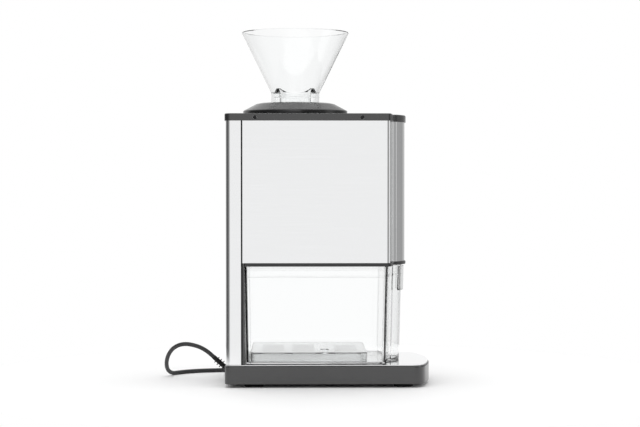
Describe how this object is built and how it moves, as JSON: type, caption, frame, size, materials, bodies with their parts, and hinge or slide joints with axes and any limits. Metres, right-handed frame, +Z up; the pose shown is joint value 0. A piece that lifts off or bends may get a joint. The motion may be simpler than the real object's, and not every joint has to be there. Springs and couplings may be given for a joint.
{
  "type": "ice crusher",
  "caption": "Countertop electric ice crusher: clear funnel over a toothed rotor in a stainless housing, geared motor beside it, and a clear slide-out drawer with a drainer tray.",
  "frame": {"origin": "centre of the machine's footprint on the surface it stands on, without the free cord", "axes": "+Z up; the front, where the drawer pulls out, faces -Y; +X to the operator's right"},
  "size_m": [0.2754, 0.3577, 0.4675],
  "materials": {
    "stainless": "fine brushed stainless sheet, satin",
    "dark_steel": "plain machined steel",
    "charcoal_plastic": "charcoal moulded plastic, fine texture",
    "black_plastic": "black moulded plastic, satin",
    "rubber": "black rubber, matte",
    "clear_plastic": "clear polycarbonate, polished",
    "frosted_plastic": "translucent plastic, satin",
    "white_plastic": "natural moulded plastic",
    "brass": "machined brass and copper",
    "ferrite": "dark sintered iron and laminations",
    "circuit_board": "green board with components",
    "cord_sheath": "dark grey cord sheath, satin"
  },
  "bodies": {
    "machine": {"base_tub": "charcoal_plastic", "base_top_plate": "stainless", "bottom_cover": "black_plastic", "foot_front_left": "rubber", "foot_front_right": "rubber", "foot_rear_left": "rubber", "foot_rear_right": "rubber", "rear_column": "stainless", "back_panel": "charcoal_plastic", "housing_wrap": "stainless", "housing_floor": "black_plastic", "top_cover": "charcoal_plastic", "cover_screw_rear_left": "dark_steel", "cover_screw_rear_right": "dark_steel", "cover_screw_front_left": "dark_steel", "cover_screw_front_right": "dark_steel", "hopper_collar": "charcoal_plastic", "crushing_chamber": "white_plastic", "fixed_comb": "dark_steel", "rotor_bearing_front": "stainless", "rotor_bearing_rear": "stainless", "idler_pin": "stainless", "gearbox_plate": "dark_steel", "motor_can": "dark_steel", "motor_end_cap": "black_plastic", "magnet_left": "ferrite", "magnet_right": "ferrite", "switch_bezel": "black_plastic", "rectifier_board": "circuit_board", "terminal_block": "white_plastic", "internal_lead": "cord_sheath", "strain_relief": "rubber", "cord": "cord_sheath", "cord_tail": "cord_sheath", "cord_coil": "cord_sheath", "cord_tie": "rubber", "plug": "black_plastic"},
    "funnel": {"hopper": "clear_plastic", "throat_guard": "clear_plastic"},
    "drawer": {"bin": "clear_plastic"},
    "drainer": {"drainer_tray": "frosted_plastic"},
    "rotor": {"rotor_shaft": "stainless", "rotor_blade_1": "dark_steel", "rotor_blade_2": "dark_steel", "rotor_blade_3": "dark_steel", "rotor_blade_4": "dark_steel", "rotor_spacer_1": "stainless", "rotor_spacer_2": "stainless", "rotor_spacer_3": "stainless", "output_gear": "brass"},
    "idler": {"idler_gear": "white_plastic"},
    "armature": {"armature_core": "ferrite", "armature_shaft": "stainless", "commutator": "brass", "cooling_fan": "black_plastic", "motor_pinion": "brass"},
    "rocker": {"switch_rocker": "black_plastic"}
  },
  "joints": [
    {"name": "hopper_lift", "type": "slide", "parent": "machine", "child": "funnel", "axis": [0, 0, 1], "range_m": [0, 0.13]},
    {"name": "bin_slide", "type": "slide", "parent": "machine", "child": "drawer", "axis": [0, -1, 0], "range_m": [0, 0.24]},
    {"name": "drainer_lift", "type": "slide", "parent": "drawer", "child": "drainer", "axis": [0, 0, 1], "range_m": [0, 0.1]},
    {"name": "motor_spin", "type": "hinge", "parent": "machine", "child": "armature", "pos_m": [0, -0.05, 0.21077], "axis": [0, 1, 0], "continuous": true},
    {"name": "idler_spin", "type": "hinge", "parent": "machine", "child": "idler", "pos_m": [0, -0.0035, 0.24358], "axis": [0, 1, 0], "continuous": true},
    {"name": "rotor_spin", "type": "hinge", "parent": "machine", "child": "rotor", "pos_m": [0, 0.0435, 0.285], "axis": [0, 1, 0], "continuous": true},
    {"name": "switch_rock", "type": "hinge", "parent": "machine", "child": "rocker", "pos_m": [0.0824, -0.052, 0.3], "axis": [0, -1, 0], "range_deg": [0, 16]}
  ],
  "couplings": [
    {"joint": "idler_spin", "follows": "motor_spin", "ratio": -0.3},
    {"joint": "rotor_spin", "follows": "motor_spin", "ratio": 0.091667}
  ]
}
